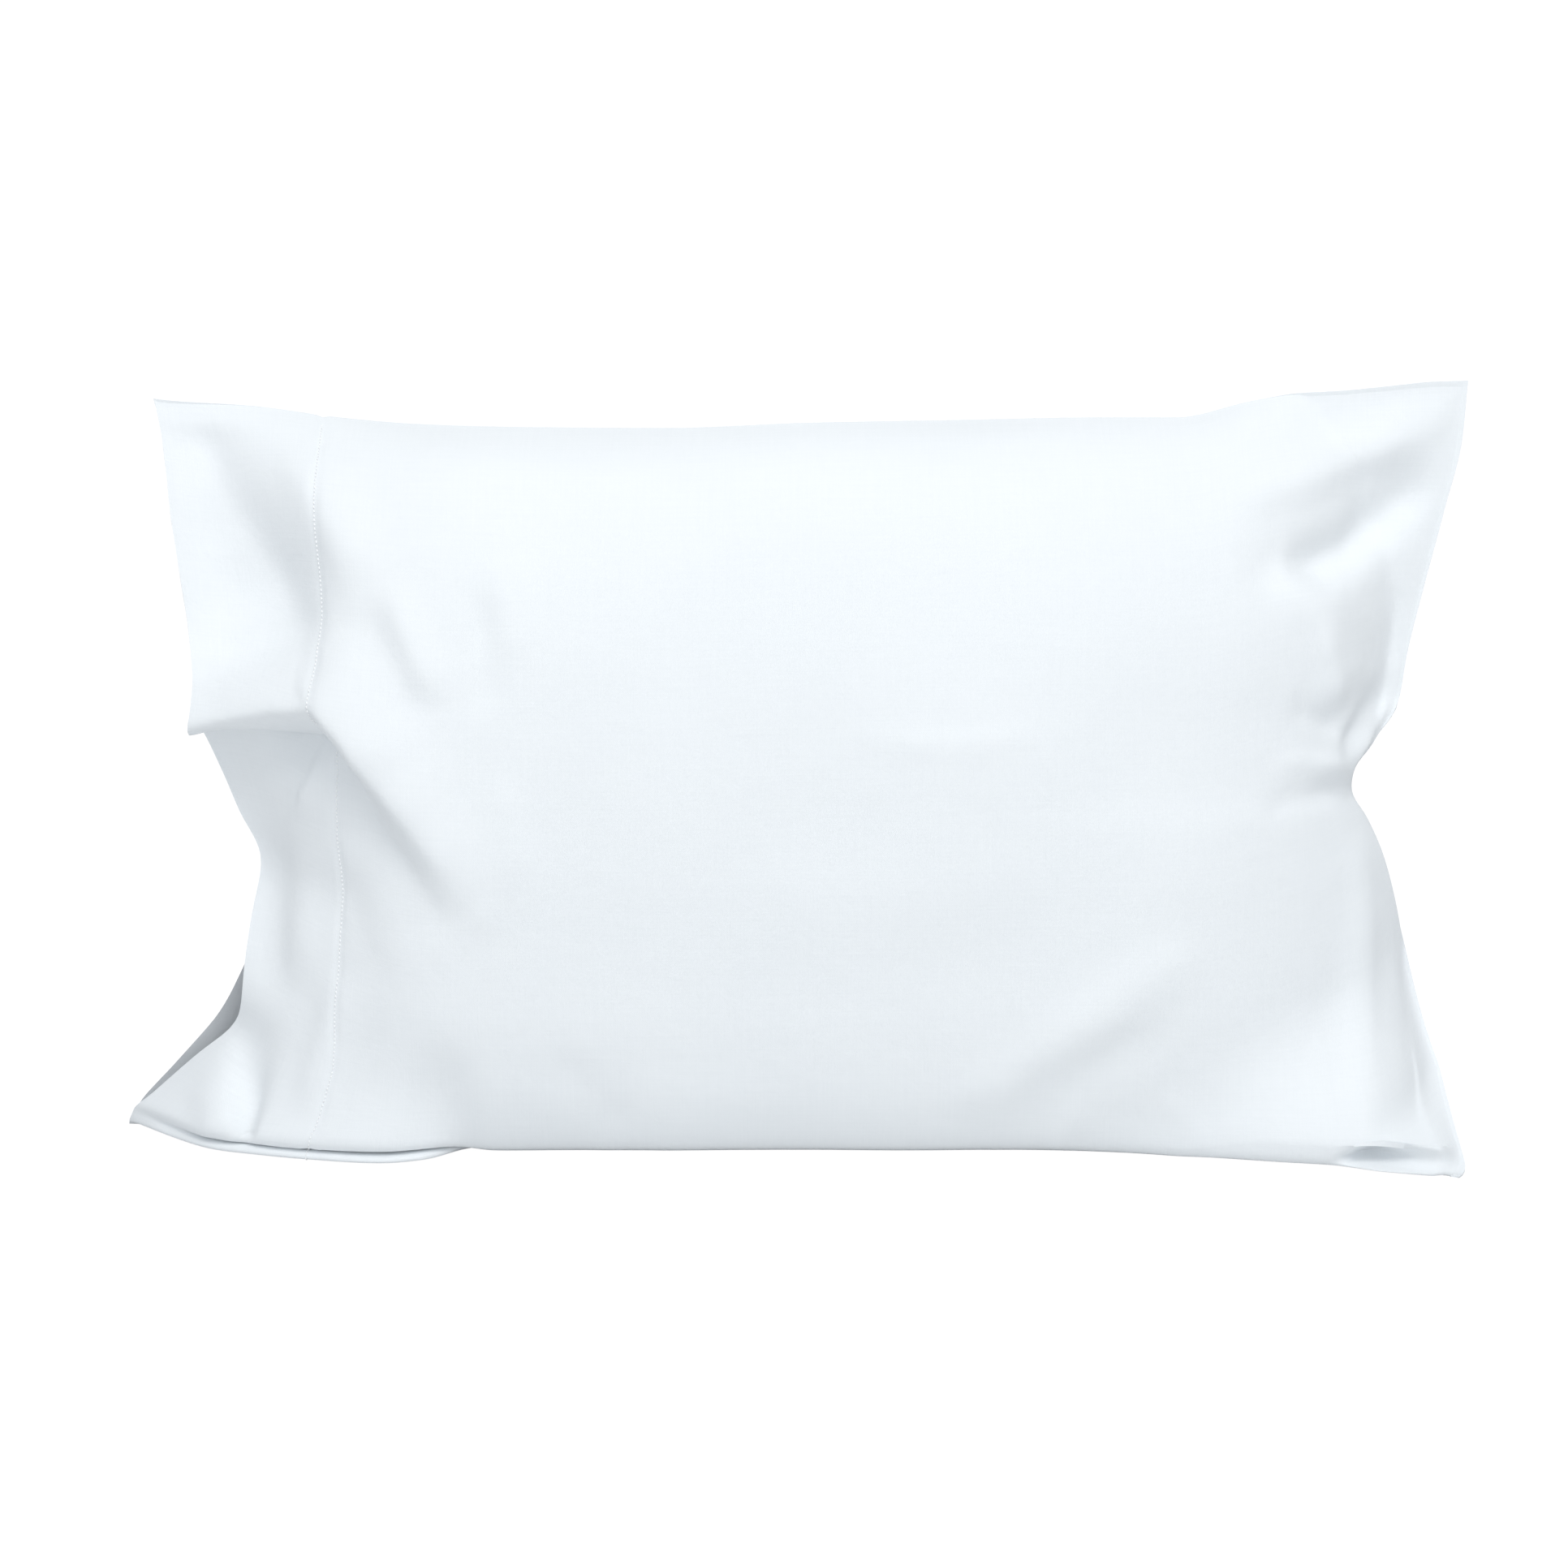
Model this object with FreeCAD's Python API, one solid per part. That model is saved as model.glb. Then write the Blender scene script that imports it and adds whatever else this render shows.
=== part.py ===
import FreeCAD, Part
import math
import os

# A bed pillow in its pillowcase, standing upright on one long edge. Millimetres.
# X runs from the open mouth of the case (-X) to its closed end (+X). The front faces -Y and
# +Z is up. The origin is on the floor, under the middle of the case.

Vector = FreeCAD.Vector

# The pillowcase as it stands, filled
CASE_LENGTH = 762.0        # mouth corners to closed-end corners
CASE_HEIGHT = 410.0        # floor to top seam, at mid length
CASE_DEPTH = 196.0         # front to back where it is fullest
FOOT_WIDTH = 104.0         # flat patch that the pillow stands on, front to back
MOUTH_CORNER_RISE = 15.0   # top corner at the mouth, above the middle of the top seam
END_CORNER_RISE = 26.0     # top corner at the closed end, above the middle of the top seam
MOUTH_WAIST = 60.0         # how far the mouth edge draws in between its corners
END_WAIST = 58.0           # how far the closed end draws in between its corners
WAIST_REACH = 200.0        # how far along the case a drawn-in edge is felt
WAIST_POWER = 1.4          # how sharply a waist deepens towards mid height
CORNER_POWER = 3           # how sharply the top seam rises to its corners
MOUTH_GAPE = 52.0          # front ply to back ply at the mouth
MOUTH_FLARE = 250.0        # length over which the case swells from the mouth to full depth
END_TAPER = 300.0          # length over which it thins down to the end seam
CASE_CLOTH = 0.6           # one ply of the case
CASE_SEAM = 10.0           # seam allowance along the top seam and the end seam
FOOT_SEAM = 3.0            # pressed seam ridge along the middle of the foot

# The cuff at the mouth
CUFF_WIDTH = 102.0         # mouth edge to stitch row
PLY_GAP = 0.3              # air between two plies of cloth
STITCH_WIDTH = 0.8         # width of a row of stitches
THREAD = 0.3               # how thick a sewing thread lies on the cloth
THREAD_GAP = 0.1           # air under a thread
SERGING_WIDTH = 1.2        # overlock thread along a raw seam edge, seen from the front
SERGING_DEPTH = 0.3        # the same thread, front to back
SERGING_GAP = 1.4          # from a seam allowance to its serging

# The pillow insert
END_ROOM = 44.0            # case end seam to insert end seam
SETBACK = 6.0              # cuff stitch row to insert end seam
TOP_ROOM = 24.0            # case top seam to insert top seam
INSERT_NOSE = 110.0        # length over which each end of the insert rounds off
SIDE_ROOM = 2.0            # air between insert and case on the front and back faces
FOOT_ROOM = 0.3            # air between insert and case at the foot
FOOT_NARROWING = 8.0       # the insert's foot is this much narrower than the case's
TICKING = 0.8              # one ply of the insert's cover
TICKING_SEAM = 9.0         # seam allowance of the insert's cover
PIPING_WIDTH = 3.0         # cord in the insert's edge seam
PIPING_GAP = 1.2           # from the ticking seam to the cord
FILL_GAP = 0.3             # air between ticking and fibre fill
CLOSING_INSET = 12.0       # stitches that close the insert, from its end seam
CLOSING_LENGTH = 150.0     # how long that row of stitches is
CLOSING_UP = 0.6           # how far round the insert's face from its foot it is centred

# Labels, both blank
CARE_LABEL = (44.0, 30.0)  # along and up
LAW_LABEL = (62.0, 48.0)
LABEL_CLOTH = 0.4
LABEL_GAP = 0.2

# One upright section of the case, as control points of its front half. The foot's are shares of
# half the foot's width, and the face's are shares of the half depth and of the height. An end
# that is closed to a seam has its points straight above each other, at the rim's shares.
FOOT_POINTS = (0.0, 0.2, 0.5, 0.75, 1.0)
FACE_POINTS = ((0.84, 0.04), (0.98, 0.22), (1.01, 0.46), (0.95, 0.71), (0.74, 0.92),
               (0.30, 0.99), (0.0, 1.0))
RIM_POINTS = (0.0, 0.006, 0.012, 0.018, 0.024) + tuple(up for _, up in FACE_POINTS)
POINTS_UP = len(RIM_POINTS)
POINTS_ALONG = 20
DEGREE = 3
GROOVE_POINTS = 2          # foot points of the insert that are raised over its piping
FOOT_DIP = 0.4             # the foot is drawn this far below the floor, then cut off flat
OFF_RIM = 0.002            # normals are read no nearer a surface's rim than this share of it

# Worked out from the above
CUFF = CUFF_WIDTH / CASE_LENGTH
INSERT_START = (CUFF_WIDTH + SETBACK) / CASE_LENGTH
INSERT_END = 1.0 - END_ROOM / CASE_LENGTH
INSERT_LENGTH = (INSERT_END - INSERT_START) * CASE_LENGTH
INSERT_FOOT = CASE_CLOTH + FOOT_ROOM
SEAM_STACK = FOOT_SEAM + SERGING_GAP + SERGING_WIDTH + PIPING_WIDTH + 2 * PIPING_GAP


def smooth(t):
    """0 to 1 with level ends, for t from 0 to 1 and held beyond."""
    t = min(max(t, 0.0), 1.0)
    return t * t * (3.0 - 2.0 * t)


def round_end(t):
    """0 to 1 like a quarter of a circle, for t from 0 to 1 and held beyond."""
    t = min(max(t, 0.0), 1.0)
    return math.sqrt(1.0 - (1.0 - t) ** 2)


def top_at(along):
    """Height of the case's top seam at a share of its length."""
    from_middle = 2.0 * along - 1.0
    rise = END_CORNER_RISE if from_middle > 0 else MOUTH_CORNER_RISE
    return CASE_HEIGHT + rise * abs(from_middle) ** CORNER_POWER


def half_depth_at(along):
    """Half the case's depth at a share of its length."""
    flare = smooth(along * CASE_LENGTH / MOUTH_FLARE)
    full = MOUTH_GAPE / 2 + (CASE_DEPTH - MOUTH_GAPE) / 2 * flare
    return full * round_end((1.0 - along) * CASE_LENGTH / END_TAPER)


def drawn_in(along, up):
    """How far the waists of the two ends move a point of the case along X."""
    waist = math.sin(math.pi * up) ** WAIST_POWER
    near_mouth = max(1.0 - along * CASE_LENGTH / WAIST_REACH, 0.0) ** 2
    near_end = max(1.0 - (1.0 - along) * CASE_LENGTH / WAIST_REACH, 0.0) ** 2
    return waist * (MOUTH_WAIST * near_mouth - END_WAIST * near_end)


def section(along):
    """Control points of the case's front half at a share of its length."""
    deep = half_depth_at(along)
    foot = FOOT_WIDTH * deep / CASE_DEPTH
    shares = [(foot * out, 0.0) for out in FOOT_POINTS] + [(deep * out, up) for out, up in FACE_POINTS]
    x = (along - 0.5) * CASE_LENGTH
    return [Vector(x + drawn_in(along, min(up, 1.0)), -y, top_at(along) * up) for y, up in shares]


def knots(count):
    """Knots and their repeats, for a clamped curve with this many control points."""
    spans = count - DEGREE
    return [k / spans for k in range(spans + 1)], [DEGREE + 1] + [1] * (spans - 1) + [DEGREE + 1]


def centres(count):
    """Where along the curve each control point has its pull."""
    values, repeats = knots(count)
    run = [v for v, r in zip(values, repeats) for _ in range(r)]
    return [sum(run[k + 1:k + 1 + DEGREE]) / DEGREE for k in range(count)]


def surface(grid):
    """The smooth surface that a grid of control points makes."""
    (u, u_repeats), (v, v_repeats) = knots(len(grid)), knots(len(grid[0]))
    made = Part.BSplineSurface()
    made.buildFromPolesMultsKnots(grid, u_repeats, v_repeats, u, v, False, False, DEGREE, DEGREE)
    return made


def rim_curve(points):
    """The curve that a surface has along one rim."""
    values, repeats = knots(len(points))
    made = Part.BSplineCurve()
    made.buildFromPolesMultsKnots(points, repeats, values, False, DEGREE)
    return made.toShape()


def inside(grid, inset):
    """The grid moved along its normals, towards the middle of the pillow."""
    base = surface(grid)
    moved = []
    for points, u in zip(grid, centres(len(grid))):
        row = []
        for point, v in zip(points, centres(len(points))):
            u, v = [min(max(w, OFF_RIM), 1.0 - OFF_RIM) for w in (u, v)]
            normal = base.normal(u, v)
            row.append(point + normal * (inset if base.normal(0.5, 0.5).y > 0 else -inset))
        moved.append(row)
    return moved


def rim(points, low, high, along):
    """An upright rim in the seam plane between two heights, moved this far along X."""
    return [Vector(p.x + along, 0.0, low + (high - low) * up) for p, up in zip(points, RIM_POINTS)]


def moved_rims(grid, foot, top, end, mouth=None):
    """The grid with its rims in the seam plane, moved in by these distances. A negative distance
    moves a rim out, and with no mouth distance that rim stays open."""
    moved = [list(row) for row in grid]
    for row in moved:
        row[0] = Vector(row[0].x, 0.0, row[0].z + foot)
        row[-1] = Vector(row[-1].x, 0.0, row[-1].z - top)
    moved[-1] = rim(moved[-1], moved[-1][0].z, moved[-1][-1].z, -end)
    if mouth is not None:
        moved[0] = rim(moved[0], moved[0][0].z, moved[0][-1].z, mouth)
    return moved


def other_side(shape):
    """The same shape on the back of the pillow."""
    return shape.mirror(Vector(0, 0, 0), Vector(0, 1, 0))


def closed(faces):
    """One solid inside these faces."""
    shell = Part.makeShell(faces)
    shell.sewShape()
    solid = Part.makeSolid(shell)
    if solid.Volume < 0:
        solid.reverse()
    return solid


def between(outer, inner, along=(0.0, 1.0), up=(0.0, 1.0)):
    """The solid between two grids' surfaces, over a stretch of their length and of their height."""
    pair = [surface(outer), surface(inner)]
    for part in pair:
        part.segment(along[0], along[1], up[0], up[1])
    faces = [part.toShape() for part in pair]
    for at in along:
        faces.append(Part.makeRuledSurface(*[part.uIso(at).toShape() for part in pair]))
    for at in up:
        faces.append(Part.makeRuledSurface(*[part.vIso(at).toShape() for part in pair]))
    return closed(faces)


def patch(grid, gap, thickness, along, up):
    """A thin strip or tab lying on the outside of a grid's surface."""
    return between(inside(grid, -gap - thickness), inside(grid, -gap), along, up)


def about(middle, width, length):
    """The stretch this wide about a share of a piece of this length."""
    return middle - width / length / 2, middle + width / length / 2


def flat_band(outer, inner, count, depth):
    """A flat band in the seam plane between two grids' rims: foot, end and top, or all four."""
    runs = [([row[0] for row in grid], grid[-1], [row[-1] for row in grid][::-1], grid[0][::-1])[:count]
            for grid in (outer, inner)]
    out_edges, in_edges = [[rim_curve(points) for points in run] for run in runs]
    if count == 4:
        face = Part.Face(Part.Wire(out_edges)).cut(Part.Face(Part.Wire(in_edges)))
    else:
        first, last = [[run[k][k] for run in runs] for k in (0, -1)]
        ends = [Part.LineSegment(*points).toShape() for points in (first, last)]
        face = Part.Face(Part.Wire([ends[0]] + out_edges + [ends[1]] + in_edges[::-1]))
    band = face.extrude(Vector(0, depth, 0))
    band.translate(Vector(0, -depth / 2, 0))
    return band


# Control grid of the case's outside

case_out = [section(a) for a in centres(POINTS_ALONG)]
for row in case_out:
    for foot_point in row[:len(FOOT_POINTS)]:
        foot_point.z -= FOOT_DIP
case_out[-1] = rim(case_out[-1], -FOOT_DIP, top_at(1.0), 0.0)


def case_ply(inset, foot, seam):
    """A surface of the case this far in, whose rims are this far in from the seams."""
    grid = inside(case_out, inset)
    for row, outer in zip(grid, case_out):
        row[0], row[-1] = Vector(outer[0]), Vector(outer[-1])
        for foot_point in row[1:len(FOOT_POINTS)]:
            foot_point.z = inset
    for point, outer in zip(grid[0], case_out[0]):
        point.x = outer.x
    grid[-1] = list(case_out[-1])
    return moved_rims(grid, FOOT_DIP + foot, seam, seam)


# Control grid of the insert's outside

def insert_section(share):
    """Control points of the insert's front half, before its side room, at a share of its length."""
    along = INSERT_START + (INSERT_END - INSERT_START) * share
    nose = round_end(min(share, 1.0 - share) * INSERT_LENGTH / INSERT_NOSE)
    shrink = 1.0 - TOP_ROOM / top_at(along)
    narrow = [FOOT_NARROWING / FOOT_WIDTH] * len(FOOT_POINTS) + [0.0] * len(FACE_POINTS)
    return [Vector(p.x, p.y * nose * (1.0 - n), p.z * shrink) for p, n in zip(section(along), narrow)]


def on_foot(grid, base, foot, groove):
    """The grid with its foot points level, and with the base's rims: two closed ends, foot and top."""
    for row, outer in zip(grid, base):
        for j in range(1, len(FOOT_POINTS)):
            row[j].z = groove if j < GROOVE_POINTS else foot
        row[0] = Vector(outer[0].x, 0.0, groove)
        row[-1] = Vector(outer[-1].x, 0.0, outer[-1].z)
    for k in (0, -1):
        grid[k] = rim(base[k], groove, base[k][-1].z, 0.0)
    return grid


insert_shape = [insert_section(a) for a in centres(POINTS_ALONG)]
insert_out = on_foot(inside(insert_shape, CASE_CLOTH + SIDE_ROOM), insert_shape, INSERT_FOOT, SEAM_STACK)


def insert_ply(inset, seam):
    """A surface of the insert this far in, whose rims are this far in from its seams."""
    grid = on_foot(inside(insert_out, inset), insert_out, INSERT_FOOT + inset, SEAM_STACK)
    return moved_rims(grid, seam, seam, seam, seam)


# The pieces of the case

FACE_REACH = (centres(POINTS_UP)[len(FOOT_POINTS)], centres(POINTS_UP)[-2])


def case_panel():
    """Front ply of the case, cut flat where it stands on the floor."""
    below_floor = Part.makeBox(CASE_LENGTH * 2, CASE_DEPTH * 2, CASE_HEIGHT,
                               Vector(-CASE_LENGTH, -CASE_DEPTH, -CASE_HEIGHT))
    return between(case_out, case_ply(CASE_CLOTH, FOOT_SEAM, CASE_SEAM)).cut(below_floor)


def cuff_facing():
    """Inner ply of the cuff, from the mouth to the stitch row."""
    start = CASE_CLOTH + PLY_GAP
    plies = [case_ply(start + t, FOOT_SEAM, CASE_SEAM) for t in (0.0, CASE_CLOTH)]
    return between(plies[0], plies[1], (0.0, CUFF), FACE_REACH)


def care_label():
    """Blank tab on the inner ply of the cuff, low down beside the stitch row."""
    start = 2 * (CASE_CLOTH + PLY_GAP)
    plies = [case_ply(start + t, FOOT_SEAM, CASE_SEAM) for t in (0.0, LABEL_CLOTH)]
    up = about(FACE_REACH[0] + CARE_LABEL[1] / CASE_HEIGHT, CARE_LABEL[1], CASE_HEIGHT)
    return between(plies[0], plies[1], about(CUFF / 2, CARE_LABEL[0], CASE_LENGTH), up)


def case_serging():
    """Overlock thread along the foot seam, the end seam and the top seam."""
    foot, seam = FOOT_DIP + FOOT_SEAM + SERGING_GAP, CASE_SEAM + SERGING_GAP
    rims = [moved_rims(case_out, foot + w, seam + w, seam + w) for w in (0.0, SERGING_WIDTH)]
    return flat_band(rims[0], rims[1], 3, SERGING_DEPTH)


# The pieces of the insert

def insert_band(start, width, depth):
    """A flat band round the insert, starting this far in from its seams."""
    rims = [moved_rims(insert_out, d, d, d, d) for d in (start, start + width)]
    return flat_band(rims[0], rims[1], 4, depth)


def fibre_fill():
    """The stuffing, clear of the ticking and of the raw seam edges."""
    seam = TICKING_SEAM + 2 * SERGING_GAP + SERGING_WIDTH
    half = surface(insert_ply(TICKING + FILL_GAP, seam)).toShape()
    return closed([half, other_side(half)])


def closing_stitches():
    """Short row of stitches that closes the insert once it is filled."""
    along = about(CLOSING_INSET / INSERT_LENGTH, STITCH_WIDTH, INSERT_LENGTH)
    return patch(insert_out, THREAD_GAP, THREAD, along, about(CLOSING_UP, CLOSING_LENGTH, CASE_HEIGHT))


def law_label():
    """Blank tab that lies on the back of the insert, near its mouth end."""
    start = CLOSING_INSET + LAW_LABEL[0]
    along = about(start / INSERT_LENGTH, LAW_LABEL[0], INSERT_LENGTH)
    up = about(FACE_REACH[0] + LAW_LABEL[1] / CASE_HEIGHT, LAW_LABEL[1], CASE_HEIGHT)
    return patch(insert_out, LABEL_GAP, LABEL_CLOTH, along, up)


cuff_row = about(CUFF, STITCH_WIDTH, CASE_LENGTH)
nodes = {
    "case_front_panel": case_panel(),
    "front_cuff_facing": cuff_facing(),
    "front_cuff_stitching": patch(case_out, THREAD_GAP, THREAD, cuff_row, FACE_REACH),
    "case_seam_serging": case_serging(),
    "case_care_label": other_side(care_label()),
    "insert_front_ticking": between(insert_out, insert_ply(TICKING, TICKING_SEAM)),
    "insert_seam_serging": insert_band(TICKING_SEAM + SERGING_GAP, SERGING_WIDTH, SERGING_DEPTH),
    "insert_piping": insert_band(-PIPING_GAP - PIPING_WIDTH, PIPING_WIDTH, PIPING_WIDTH),
    "insert_closing_stitches": closing_stitches(),
    "insert_law_label": other_side(law_label()),
    "fibre_fill": fibre_fill(),
}
for front, back in (("case_front_panel", "case_back_panel"), ("front_cuff_facing", "back_cuff_facing"),
                    ("front_cuff_stitching", "back_cuff_stitching"),
                    ("insert_front_ticking", "insert_back_ticking")):
    nodes[back] = other_side(nodes[front])

os.makedirs("parts", exist_ok=True)
for name, shape in nodes.items():
    shape.exportStep("parts/" + name + ".step")
    print(name, shape.isValid(), len(shape.Solids), round(shape.Volume), shape.BoundBox)
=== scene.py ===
import math

import bpy
import numpy as np
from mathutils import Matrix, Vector, noise
from mathutils.kdtree import KDTree


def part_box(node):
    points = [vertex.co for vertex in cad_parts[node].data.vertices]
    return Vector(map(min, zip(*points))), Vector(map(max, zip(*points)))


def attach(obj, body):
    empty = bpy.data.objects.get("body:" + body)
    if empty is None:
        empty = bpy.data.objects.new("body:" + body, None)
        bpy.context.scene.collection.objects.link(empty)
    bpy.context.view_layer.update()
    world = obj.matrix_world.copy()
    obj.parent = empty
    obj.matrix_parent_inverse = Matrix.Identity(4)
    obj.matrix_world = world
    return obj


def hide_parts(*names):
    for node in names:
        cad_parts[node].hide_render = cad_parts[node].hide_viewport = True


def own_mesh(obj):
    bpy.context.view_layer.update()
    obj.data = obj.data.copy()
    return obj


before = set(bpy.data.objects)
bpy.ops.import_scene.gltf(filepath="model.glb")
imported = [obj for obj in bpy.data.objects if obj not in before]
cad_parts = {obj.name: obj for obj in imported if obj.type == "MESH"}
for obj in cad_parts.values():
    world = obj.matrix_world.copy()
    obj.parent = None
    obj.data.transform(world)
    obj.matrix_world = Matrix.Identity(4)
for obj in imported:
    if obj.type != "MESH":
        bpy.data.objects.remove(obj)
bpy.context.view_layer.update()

# A filled pillowcase standing on one long edge, with its pillow inside. Shapes are worked out in
# millimetres and made in metres. The mouth is at -X and the closed end at +X, and the front
# faces -Y.

MM = 0.001
case_low, case_high = [[v / MM for v in corner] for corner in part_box("case_front_panel")]
MOUTH, CLOSED = case_low[0], case_high[0]
LENGTH = CLOSED - MOUTH
DEPTH = -case_low[1]
GIRTH = 508.0              # foot seam to top seam over one face, in flat cloth
CLOTH = 0.55               # one ply of percale
CUFF = 102.0               # mouth fold to stitch row
TOGETHER = 1.6             # from the front of one ply to the back of the other


# Curves and grids

def through(keys, at):
    """A smooth curve through (position, value) keys that never overshoots them."""
    x, y = np.array(keys, float).T
    run, slope = np.diff(x), np.diff(y) / np.diff(x)
    tangent = np.zeros(len(x))
    same = slope[:-1] * slope[1:] > 0
    a, b = 2 * run[1:] + run[:-1], run[1:] + 2 * run[:-1]
    with np.errstate(divide="ignore", invalid="ignore"):
        mean = (a + b) / (a / slope[:-1] + b / slope[1:])
    tangent[1:-1] = np.where(same, mean, 0.0)
    tangent[0], tangent[-1] = slope[0], slope[-1]
    at = np.clip(at, x[0], x[-1])
    k = np.clip(np.searchsorted(x, at) - 1, 0, len(x) - 2)
    t, h = (at - x[k]) / run[k], run[k]
    return ((1 + 2 * t) * (1 - t) ** 2 * y[k] + t * (1 - t) ** 2 * h * tangent[k]
            + t * t * (3 - 2 * t) * y[k + 1] + t * t * (t - 1) * h * tangent[k + 1])


def smooth(t):
    t = np.clip(t, 0.0, 1.0)
    return t * t * (3 - 2 * t)


def quarter(t):
    """0 to 1 like a quarter of a circle."""
    return np.sqrt(1 - (1 - np.clip(t, 0.0, 1.0)) ** 2)


def softened(t, start):
    """t, but leaving 0 gently over this much of its start."""
    t = np.clip(t, 0.0, None)
    return t * t / (t + start)


def spread(count, stops):
    """Positions from 0 to 1, closer together where the stops' (position, spacing) say so."""
    fine = np.linspace(0, 1, 4001)
    density = 1 / through(stops, fine)
    total = np.concatenate([[0], np.cumsum((density[1:] + density[:-1]) / 2)])
    return np.interp(np.linspace(0, total[-1], count), total, fine)


def normals(grid, side):
    """Unit normals of a grid, on the outside of the front (side -1) or the back (side 1)."""
    along, up = np.gradient(grid, axis=0), np.gradient(grid, axis=1)
    cross = np.cross(along, up) * -side
    return cross / np.maximum(np.linalg.norm(cross, axis=2, keepdims=True), 1e-9)


def relaxed(grid, rounds, keep_rims=True):
    """The grid with small kinks evened out."""
    for _ in range(rounds):
        new = grid.copy()
        new[1:-1, 1:-1] = (grid[1:-1, 1:-1] * 0.5 + (grid[2:, 1:-1] + grid[:-2, 1:-1]
                           + grid[1:-1, 2:] + grid[1:-1, :-2]) * 0.125)
        if not keep_rims:
            new[0, 1:-1] = grid[0, 1:-1] * 0.5 + (grid[0, 2:] + grid[0, :-2]) * 0.25
        grid = new
    return grid


def fold(x, z, path, widths, power=2.0):
    """Heights of a fold that runs along a path of (x, z, height). It is as wide as these on its
    left and on its right, unless a point of the path has its own two widths."""
    best = np.full(x.shape, np.inf)
    height, wide = np.zeros(x.shape), np.ones(x.shape)
    path = [(*point, *widths)[:5] if len(point) == 3 else point for point in path]
    for start, end in zip(path[:-1], path[1:]):
        (xa, za, ha, la, ra), (xb, zb, hb, lb, rb) = start, end
        dx, dz = xb - xa, zb - za
        t = np.clip(((x - xa) * dx + (z - za) * dz) / (dx * dx + dz * dz), 0, 1)
        away = np.hypot(x - xa - t * dx, z - za - t * dz)
        near = away < best
        best = np.where(near, away, best)
        height = np.where(near, ha + (hb - ha) * smooth(t), height)
        left = dx * (z - za) - dz * (x - xa) > 0
        wide = np.where(near, np.where(left, la + (lb - la) * t, ra + (rb - ra) * t), wide)
    return height * np.exp(-(best / wide) ** power)


def uneven(x, z, size, seed):
    """Soft random ups and downs of about this size, the same every run."""
    flat = np.array([noise.noise(Vector((a / size, b / size, seed)))
                     for a, b in zip(x.ravel(), z.ravel())])
    return flat.reshape(x.shape)


# The outlines

TOP_SEAM = [(-381, 424), (-372, 423), (-321, 420), (-269, 413.5), (-218, 409.5), (-163, 408),
            (-81, 407.5), (0, 410.5), (82, 412), (165, 413.5), (207, 413.5), (249, 422.5),
            (276, 427), (304, 428.5), (331, 431), (359, 433.5), (381, 434)]
# mouth edge of the front ply: height, along, forward
FRONT_MOUTH = [(0, -401, 0), (4, -400, 3), (8, -398, 6), (12, -396, 9), (22, -384, 16),
               (33, -372, 23), (53, -349, 35), (66, -332, 41), (76, -327, 42), (104, -323, 38),
               (135, -319, 30), (163, -315, 20), (191, -327, 24), (215, -337, 36),
               (234, -345, 47), (241, -347, 52), (248, -344.5, 51), (264, -344, 46),
               (286, -347, 40), (353, -358.5, 30), (407, -367, 10), (424, -372, 0)]
BACK_MOUTH = [(0, -401, 0), (12, -395, 4), (33, -376, 9), (48, -362, 12), (63, -349, 16),
              (90, -335, 22), (125, -320, 28), (160, -310, 28), (200, -314, 26),
              (260, -332, 26), (340, -352, 20), (400, -367, 8), (424, -372, 0)]
# closed end: height, along, forward
END_SEAM = [(0, 366, 0), (10, 371, 0), (30, 368, 0), (61, 359, 0), (125, 342.5, 0),
            (165, 329, 0), (188, 318, -6), (203, 309, -10), (215, 309, 0), (231, 324, 8),
            (247, 336, 5), (256, 339.5, 0), (277, 342.5, 0), (319, 351.5, 0), (360, 361, 0),
            (402, 370, 0), (434, 372, 0)]
# one full section: share of the girth, share of the depth, share of the height
SECTION = [(0, 0, 0), (.06, .31, 0), (.11, .56, .002), (.145, .72, .016), (.18, .83, .05),
           (.24, .93, .115), (.33, .99, .22), (.45, 1, .37), (.57, .975, .52), (.69, .90, .66),
           (.79, .77, .785), (.87, .60, .88), (.93, .40, .945), (.97, .20, .98), (1, 0, 1)]
# where the pillow inside ends, by height
INSERT_RIGHT = [(0, 324), (60, 326), (125, 326), (188, 319), (212, 308), (240, 306), (277, 312),
                (303, 314), (333, 310), (372, 296), (400, 280), (434, 256)]
# the roll of cloth on the floor below the mouth: along, forward
MOUTH_ROLL = [(-402, 0), (-395, 8), (-370, 34), (-337, 61), (-312, 71), (-287, 79), (-240, 88),
              (-215, 80), (-192, 66), (-170, 60)]
MOUTH_ROLL_Y = [(0, 0), (.05, .5), (.082, .93), (.092, 1.0), (.1, 1.0), (.108, .95),
                (.122, .86), (.132, .9), (.14, .97), (.15, 1.0)]
MOUTH_ROLL_Z = [(0, .6), (.05, .6), (.082, .8), (.092, 2.2), (.1, 4.2), (.108, 5.6),
                (.122, 6.2), (.132, 6.6), (.14, 8), (.15, 12)]
ROLL_END = -178.0
# the same below the closed end, where the cloth lifts over the corner
CORNER_ROLL = [(100, 66), (160, 72), (228, 83), (285, 93), (320, 102), (345, 108), (362, 110),
               (376, 104)]
CORNER_ROLL_Y = [(0, 0), (.05, .5), (.082, .95), (.092, 1.0), (.1, .98), (.108, .86),
                 (.122, .62), (.132, .72), (.14, .84), (.15, .90)]
CORNER_ROLL_Z = [(0, .6), (.05, .6), (.082, .7), (.092, 1.4), (.1, 2.2), (.108, 2.8),
                 (.122, 8), (.132, 12), (.14, 15), (.15, 19)]
PLAIN_FOOT_Y = [(0, 0), (.05, .5), (.092, .92), (.11, .965), (.132, .99), (.15, 1.0)]
PLAIN_FOOT_Z = [(0, .6), (.05, .6), (.092, 1.2), (.11, 3.4), (.132, 8), (.15, 13.5)]
SKIRT_FROM, SKIRT_TO = .15, .32
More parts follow.
